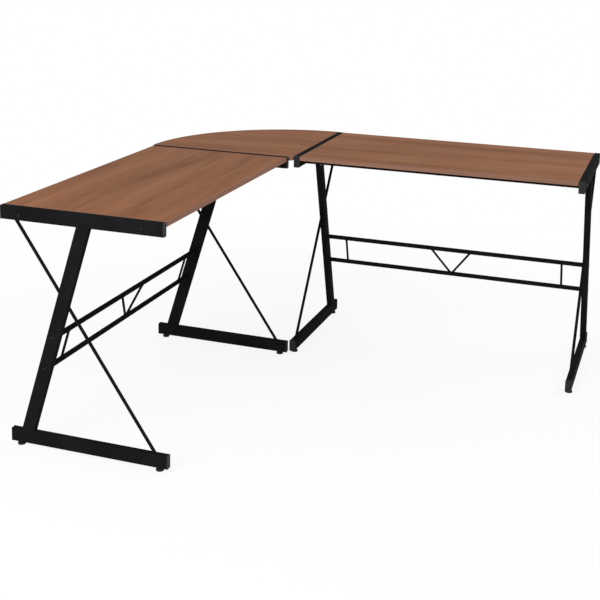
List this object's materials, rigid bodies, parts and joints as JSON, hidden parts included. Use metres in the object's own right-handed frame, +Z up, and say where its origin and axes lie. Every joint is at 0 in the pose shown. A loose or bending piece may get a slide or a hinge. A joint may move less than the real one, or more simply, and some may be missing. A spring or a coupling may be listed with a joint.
{
  "type": "corner desk",
  "caption": "L-shaped corner desk: two rectangular wood-look wings and a quarter-round corner board on leaning black steel frames with thin crossing rods, stretchers and levelling feet.",
  "frame": {"origin": "on the floor, under the middle of the desk's bounding box", "axes": "+Z up; the right wing runs along X at the +Y side with its front edge facing -Y; the left wing runs along Y at the -X side with its front edge facing +X; the quarter-round corner is at -X +Y"},
  "size_m": [1.5471, 1.5471, 0.7308],
  "materials": {
    "wood_laminate": "satin laminate with a fine straight grain",
    "black_steel": "satin black powder coat",
    "black_plastic": "matt black moulded plastic",
    "black_bolts": "black finished steel",
    "zinc_steel": "bright zinc plate"
  },
  "bodies": {
    "desk": {"bar_left_back": "black_steel", "bar_left_front": "black_steel", "bar_plugs": "zinc_steel", "bar_right_back": "black_steel", "bar_right_front": "black_steel", "bar_screws": "zinc_steel", "board_corner": "wood_laminate", "board_left": "wood_laminate", "board_right": "wood_laminate", "bottom_rail_left_inner": "black_steel", "bottom_rail_left_outer": "black_steel", "bottom_rail_right_inner": "black_steel", "bottom_rail_right_outer": "black_steel", "bracket_screws": "zinc_steel", "caps_left_inner": "black_plastic", "caps_left_outer": "black_plastic", "caps_right_inner": "black_plastic", "caps_right_outer": "black_plastic", "corner_brackets": "black_steel", "foot_inserts": "black_bolts", "leg_bolts": "black_bolts", "leg_left_inner": "black_steel", "leg_left_outer": "black_steel", "leg_right_inner": "black_steel", "leg_right_outer": "black_steel", "rail_bolts": "black_bolts", "rod_left_inner": "black_steel", "rod_left_outer": "black_steel", "rod_right_inner": "black_steel", "rod_right_outer": "black_steel", "stretcher_lower_left": "black_steel", "stretcher_lower_right": "black_steel", "stretcher_plugs": "zinc_steel", "stretcher_rods_left": "black_steel", "stretcher_rods_right": "black_steel", "stretcher_upper_left": "black_steel", "stretcher_upper_right": "black_steel", "top_rail_left_inner": "black_steel", "top_rail_left_outer": "black_steel", "top_rail_right_inner": "black_steel", "top_rail_right_outer": "black_steel"},
    "foot_left_outer_front": {"foot_pad_left_outer_front": "black_plastic", "foot_stud_left_outer_front": "zinc_steel"},
    "foot_left_outer_back": {"foot_pad_left_outer_back": "black_plastic", "foot_stud_left_outer_back": "zinc_steel"},
    "foot_left_inner_front": {"foot_pad_left_inner_front": "black_plastic", "foot_stud_left_inner_front": "zinc_steel"},
    "foot_left_inner_back": {"foot_pad_left_inner_back": "black_plastic", "foot_stud_left_inner_back": "zinc_steel"},
    "foot_right_inner_front": {"foot_pad_right_inner_front": "black_plastic", "foot_stud_right_inner_front": "zinc_steel"},
    "foot_right_inner_back": {"foot_pad_right_inner_back": "black_plastic", "foot_stud_right_inner_back": "zinc_steel"},
    "foot_right_outer_front": {"foot_pad_right_outer_front": "black_plastic", "foot_stud_right_outer_front": "zinc_steel"},
    "foot_right_outer_back": {"foot_pad_right_outer_back": "black_plastic", "foot_stud_right_outer_back": "zinc_steel"}
  },
  "joints": [
    {"name": "foot_left_outer_front_height", "type": "slide", "parent": "desk", "child": "foot_left_outer_front", "axis": [0, 0, -1], "range_m": [0, 0.012]},
    {"name": "foot_left_outer_back_height", "type": "slide", "parent": "desk", "child": "foot_left_outer_back", "axis": [0, 0, -1], "range_m": [0, 0.012]},
    {"name": "foot_left_inner_front_height", "type": "slide", "parent": "desk", "child": "foot_left_inner_front", "axis": [0, 0, -1], "range_m": [0, 0.012]},
    {"name": "foot_left_inner_back_height", "type": "slide", "parent": "desk", "child": "foot_left_inner_back", "axis": [0, 0, -1], "range_m": [0, 0.012]},
    {"name": "foot_right_inner_front_height", "type": "slide", "parent": "desk", "child": "foot_right_inner_front", "axis": [0, 0, -1], "range_m": [0, 0.012]},
    {"name": "foot_right_inner_back_height", "type": "slide", "parent": "desk", "child": "foot_right_inner_back", "axis": [0, 0, -1], "range_m": [0, 0.012]},
    {"name": "foot_right_outer_front_height", "type": "slide", "parent": "desk", "child": "foot_right_outer_front", "axis": [0, 0, -1], "range_m": [0, 0.012]},
    {"name": "foot_right_outer_back_height", "type": "slide", "parent": "desk", "child": "foot_right_outer_back", "axis": [0, 0, -1], "range_m": [0, 0.012]}
  ]
}
